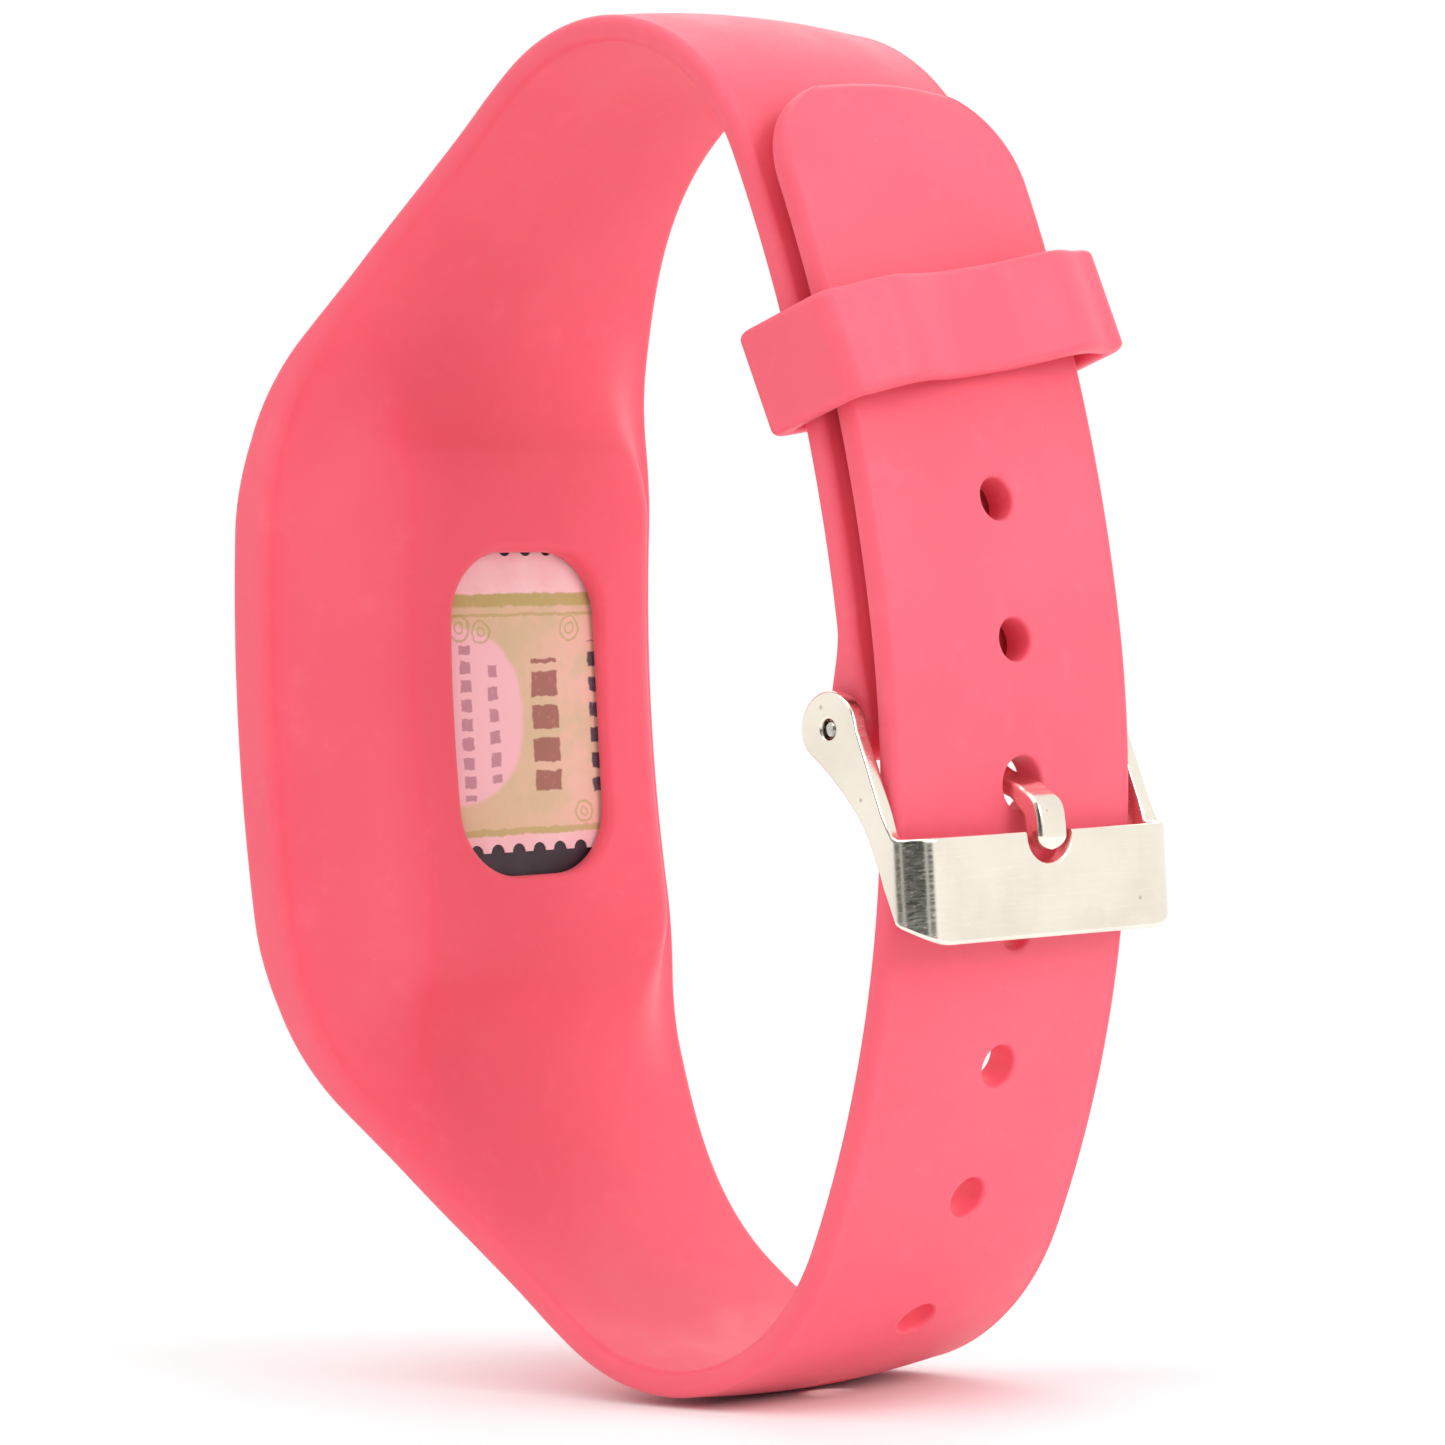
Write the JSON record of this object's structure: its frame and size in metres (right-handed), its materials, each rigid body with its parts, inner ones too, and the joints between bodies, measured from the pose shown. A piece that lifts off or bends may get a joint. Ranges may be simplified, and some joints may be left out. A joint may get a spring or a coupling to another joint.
{
  "type": "fitness tracker band",
  "caption": "Buckled one-piece silicone wristband with a sleeve that holds a slim tracker core, a steel pin buckle and a loose keeper loop.",
  "frame": {"origin": "middle of the wrist opening", "axes": "+Z towards the bend above the buckle strap, +X from the display towards the buckle, Y along the wrist's own axis"},
  "size_m": [0.0517, 0.03, 0.0769],
  "materials": {
    "coral_silicone": "matte moulded silicone, satin at grazing angles",
    "polished_steel": "polished stainless steel with fine handling scratches",
    "spring_bar_steel": "turned stainless steel",
    "screw_steel": "zinc plated screw",
    "plated_steel": "nickel plated sheet and can",
    "core_plastic": "fine spark-eroded moulded plastic, purple black",
    "key_plastic": "smooth moulded plastic",
    "display_window": "hard-coated smoked window",
    "lcd_glass": "display glass with polariser",
    "white_plastic": "white moulded plastic",
    "seal_rubber": "soft black rubber",
    "board_green": "solder mask on glass-fibre board",
    "chip_black": "moulded package",
    "label_paper": "uncoated printed paper"
  },
  "bodies": {
    "band": {"silicone_band": "coral_silicone", "core_front_case": "core_plastic", "core_back_cover": "core_plastic", "cover_seal": "seal_rubber", "case_screw_1": "screw_steel", "case_screw_2": "screw_steel", "case_screw_3": "screw_steel", "case_screw_4": "screw_steel", "display_window": "display_window", "lcd_panel": "lcd_glass", "lcd_holder": "white_plastic", "zebra_strip_upper": "seal_rubber", "zebra_strip_lower": "seal_rubber", "backlight_sheet": "white_plastic", "circuit_board": "board_green", "controller_chip": "chip_black", "motion_sensor": "chip_black", "crystal_can": "plated_steel", "smoothing_capacitor_1": "chip_black", "smoothing_capacitor_2": "chip_black", "light_resistor": "chip_black", "key_switch": "plated_steel", "cell_contact_front": "plated_steel", "coin_cell": "plated_steel", "cell_clip_back": "plated_steel", "seal_label": "label_paper", "spring_bar_tube": "spring_bar_steel", "spring_bar_spring": "spring_bar_steel"},
    "keeper": {"keeper_loop": "coral_silicone"},
    "buckle": {"buckle_frame": "polished_steel"},
    "tongue": {"buckle_tongue": "polished_steel"},
    "pin_near": {"spring_bar_pin_near": "spring_bar_steel"},
    "pin_far": {"spring_bar_pin_far": "spring_bar_steel"},
    "key": {"key_cap": "key_plastic"}
  },
  "joints": [
    {"name": "keeper_travel", "type": "hinge", "parent": "band", "child": "keeper", "pos_m": [-0.06896, 0, -0.00451], "axis": [0, -1, 0], "range_deg": [-5, 4]},
    {"name": "buckle_pivot", "type": "hinge", "parent": "band", "child": "buckle", "pos_m": [0.02021, 0, -0.00202], "axis": [0, -1, 0], "range_deg": [0, 85]},
    {"name": "tongue_pivot", "type": "hinge", "parent": "band", "child": "tongue", "pos_m": [0.02021, 0, -0.00202], "axis": [0, -1, 0], "range_deg": [0, 4]},
    {"name": "pin_near_slide", "type": "slide", "parent": "band", "child": "pin_near", "axis": [0, 1, 0], "range_m": [0, 0.0012], "stiffness_N_per_m": 300, "deforming": ["spring_bar_spring"]},
    {"name": "pin_far_slide", "type": "slide", "parent": "band", "child": "pin_far", "axis": [0, -1, 0], "range_m": [0, 0.0012], "stiffness_N_per_m": 300, "deforming": ["spring_bar_spring"]},
    {"name": "key_press", "type": "slide", "parent": "band", "child": "key", "axis": [1, 0, 0], "range_m": [0, 0.00035], "stiffness_N_per_m": 2000}
  ]
}
